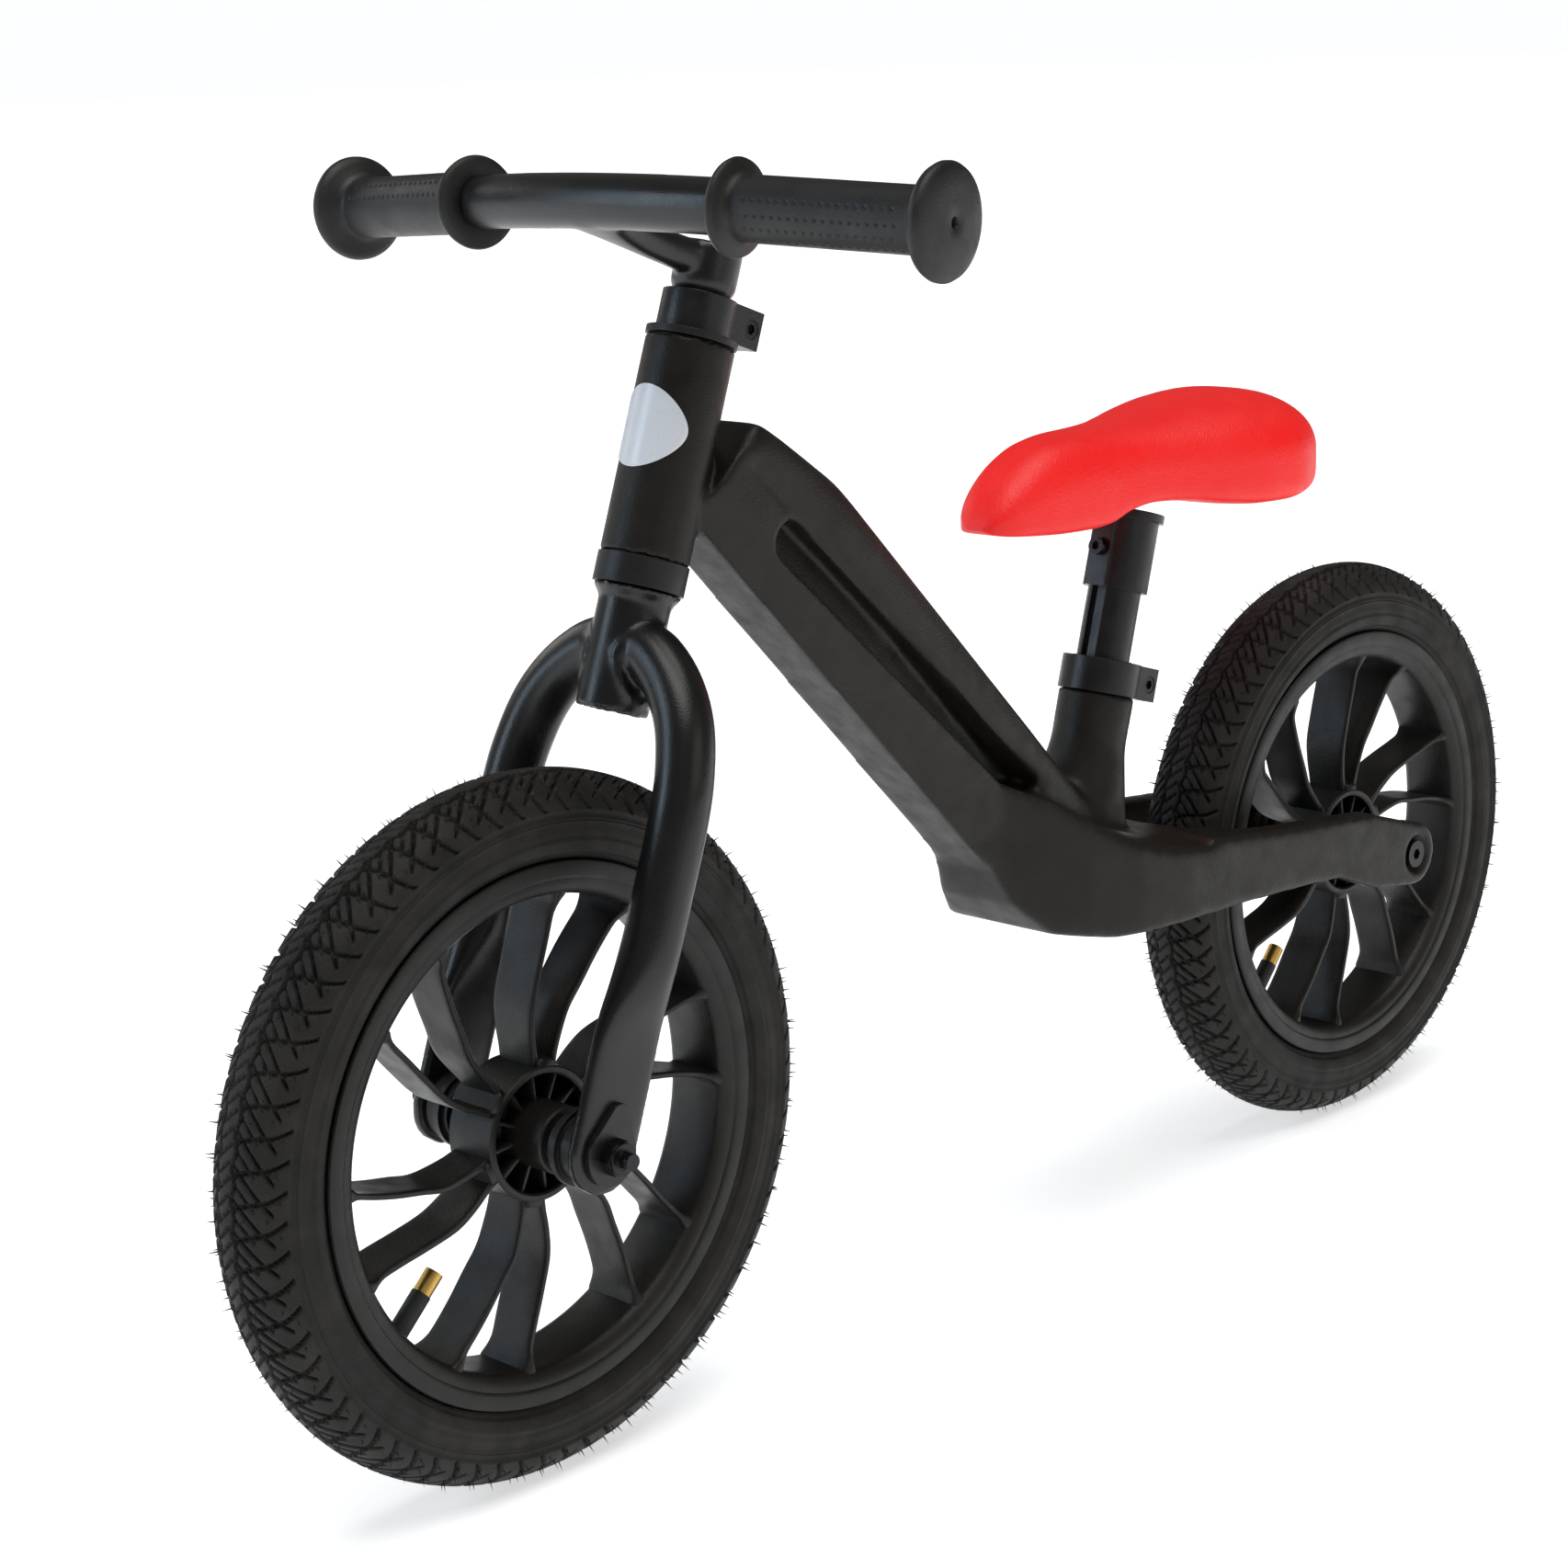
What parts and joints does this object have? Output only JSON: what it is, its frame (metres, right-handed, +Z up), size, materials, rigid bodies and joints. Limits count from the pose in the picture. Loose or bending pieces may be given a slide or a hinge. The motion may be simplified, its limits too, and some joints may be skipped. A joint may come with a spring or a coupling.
{
  "type": "balance bike",
  "caption": "Child's balance bike: charcoal moulded frame, welded black fork, swirled spoke wheels with pneumatic tyres, straight bar with rubber grips and a soft red saddle.",
  "frame": {"origin": "on the ground, midway between the two axles, in the bike's middle plane", "axes": "+X the direction of travel, +Y the rider's left, +Z up"},
  "size_m": [0.862, 0.346, 0.5275],
  "materials": {
    "frame_moulding": "fine grained, satin",
    "fork_paint": "satin powder coat",
    "bar_paint": "satin powder coat",
    "black_alloy": "satin anodised",
    "black_parts": "satin",
    "black_bolts": "black oxide",
    "bare_steel": "zinc plated",
    "grip_rubber": "soft matte",
    "wheel_moulding": "fine grained, satin",
    "tyre_rubber": "matte with light dust",
    "tube_rubber": "soft matte",
    "valve_brass": "bare",
    "saddle_skin": "soft, fine grained",
    "badge_plate": "smooth"
  },
  "bodies": {
    "frame": {"frame": "frame_moulding", "head_badge": "badge_plate", "lower_cup": "black_parts", "upper_cup": "black_parts", "headset_bearings": "bare_steel", "seat_clamp": "black_alloy", "seat_clamp_bolt": "black_bolts", "rear_axle": "bare_steel", "rear_axle_bolts": "black_bolts", "rear_axle_spacers": "black_parts"},
    "fork": {"fork": "fork_paint", "headset_cover": "black_parts", "steerer_clamp": "black_alloy", "steerer_clamp_bolt": "black_bolts", "front_axle": "black_bolts", "front_axle_nuts": "black_bolts", "front_tab_washers": "black_alloy", "front_axle_spacers": "black_parts"},
    "handlebar": {"handlebar": "bar_paint", "stem_quill": "bar_paint", "left_grip": "grip_rubber", "right_grip": "grip_rubber"},
    "front_wheel": {"front_wheel": "wheel_moulding", "front_tyre": "tyre_rubber", "front_inner_tube": "tube_rubber", "front_valve": "valve_brass", "front_hub_bearings": "bare_steel", "front_dust_seals": "black_parts"},
    "rear_wheel": {"rear_wheel": "wheel_moulding", "rear_tyre": "tyre_rubber", "rear_inner_tube": "tube_rubber", "rear_valve": "valve_brass", "rear_hub_bearings": "bare_steel", "rear_dust_seals": "black_parts"},
    "seat_post": {"seat_post": "black_alloy"},
    "saddle": {"saddle_sleeve": "black_alloy", "saddle_set_screw": "black_bolts", "saddle": "saddle_skin"}
  },
  "joints": [
    {"name": "steering", "type": "hinge", "parent": "frame", "child": "fork", "pos_m": [0.18686, 0, 0.40961], "axis": [-0.3469, 0, 0.9379], "continuous": true},
    {"name": "handlebar_height", "type": "slide", "parent": "fork", "child": "handlebar", "axis": [-0.3469, 0, 0.9379], "range_m": [0, 0.045]},
    {"name": "front_wheel_spin", "type": "hinge", "parent": "fork", "child": "front_wheel", "pos_m": [0.284, 0, 0.147], "axis": [0, 1, 0], "continuous": true},
    {"name": "rear_wheel_spin", "type": "hinge", "parent": "frame", "child": "rear_wheel", "pos_m": [-0.284, 0, 0.147], "axis": [0, 1, 0], "continuous": true},
    {"name": "seat_height", "type": "slide", "parent": "frame", "child": "seat_post", "axis": [-0.2924, 0, 0.9563], "range_m": [-0.03, 0.04]},
    {"name": "saddle_height", "type": "slide", "parent": "seat_post", "child": "saddle", "axis": [-0.2924, 0, 0.9563], "range_m": [0, 0.018]}
  ]
}
